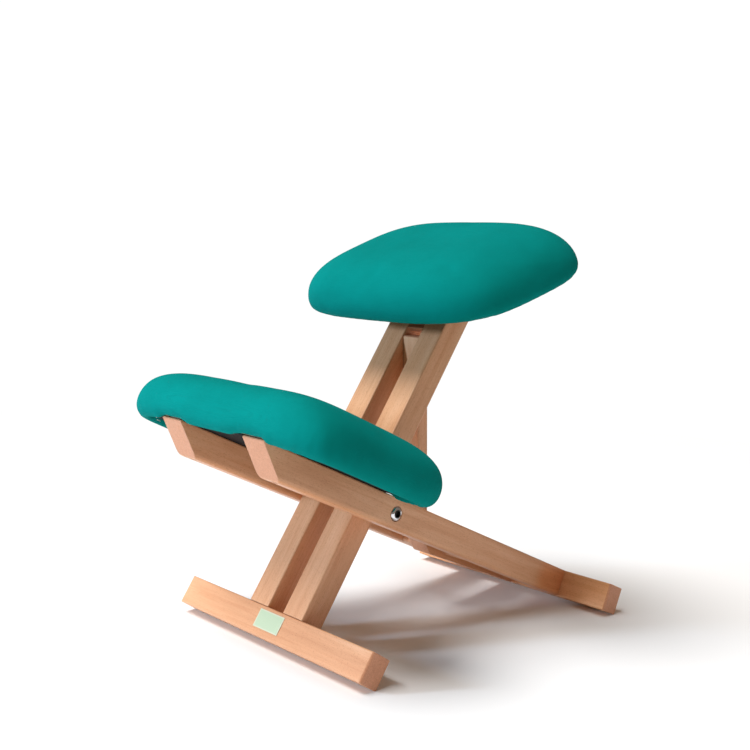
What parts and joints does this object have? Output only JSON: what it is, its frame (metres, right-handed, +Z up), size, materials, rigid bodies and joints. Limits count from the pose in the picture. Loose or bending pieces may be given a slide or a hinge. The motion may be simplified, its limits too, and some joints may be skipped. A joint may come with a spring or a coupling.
{
  "type": "kneeling chair",
  "caption": "Folding beech kneeling chair: two crossed frames on one pivot, an upholstered knee pad and seat, and a prop strut standing in a notched rack.",
  "frame": {"origin": "middle of the chair's bounding box on the floor", "axes": "+Z up, +Y to the rear (the seat and the rear foot bar), +X to the sitter's right hand side"},
  "size_m": [0.4394, 0.6524, 0.5988],
  "materials": {
    "beech": "clear satin lacquer on steamed beech",
    "plywood": "raw birch plywood",
    "teal_fabric": "fine plain-weave upholstery cloth, matte",
    "black_fabric": "black spun-bond dust cloth",
    "foam": "cream polyurethane foam",
    "chrome": "bright plated",
    "steel": "zinc plated",
    "nylon": "natural nylon",
    "label": "blank pale green plate"
  },
  "bodies": {
    "knee_frame": {"knee_beam_left": "beech", "knee_beam_right": "beech", "rear_foot_bar": "beech", "strut_rack": "beech", "rack_cross_dowel": "beech", "knee_board": "plywood", "knee_foam": "foam", "knee_cover": "teal_fabric", "knee_dust_cover": "black_fabric", "rear_bar_dowel_1": "beech", "rear_bar_dowel_2": "beech", "rear_bar_dowel_3": "beech", "rear_bar_dowel_4": "beech", "rack_end_dowel": "beech", "knee_board_screw_1": "steel", "knee_board_screw_2": "steel", "knee_board_screw_3": "steel", "knee_board_screw_4": "steel"},
    "seat_frame": {"seat_leg_left": "beech", "seat_leg_right": "beech", "front_foot_bar": "beech", "seat_block": "beech", "strut_pin": "steel", "seat_bracket_left": "steel", "seat_bracket_right": "steel", "label_plate": "label", "seat_board": "plywood", "seat_foam": "foam", "seat_cover": "teal_fabric", "seat_dust_cover": "black_fabric", "pivot_bolt_left": "chrome", "pivot_bolt_right": "chrome", "pivot_spacer_left": "nylon", "pivot_spacer_right": "nylon", "pivot_washer_left": "steel", "pivot_washer_right": "steel", "pivot_nut_left": "steel", "pivot_nut_right": "steel", "front_bar_dowel_1": "beech", "front_bar_dowel_2": "beech", "front_bar_dowel_3": "beech", "front_bar_dowel_4": "beech", "seat_block_dowel_1": "beech", "seat_block_dowel_2": "beech", "seat_board_screw_1": "steel", "seat_board_screw_2": "steel", "seat_board_screw_3": "steel", "seat_board_screw_4": "steel", "bracket_screw_1": "steel", "bracket_screw_2": "steel", "bracket_screw_3": "steel", "bracket_screw_4": "steel"},
    "strut": {"strut": "beech"}
  },
  "joints": [
    {"name": "frame_fold", "type": "hinge", "parent": "knee_frame", "child": "seat_frame", "pos_m": [0, -0.0887, 0.194], "axis": [-1, 0, 0], "range_deg": [0, 62]},
    {"name": "strut_swing", "type": "hinge", "parent": "seat_frame", "child": "strut", "pos_m": [0, 0.04647, 0.41381], "axis": [1, 0, 0], "range_deg": [0, 118]}
  ],
  "couplings": [
    {"joint": "strut_swing", "follows": "frame_fold", "ratio": 1.9}
  ]
}
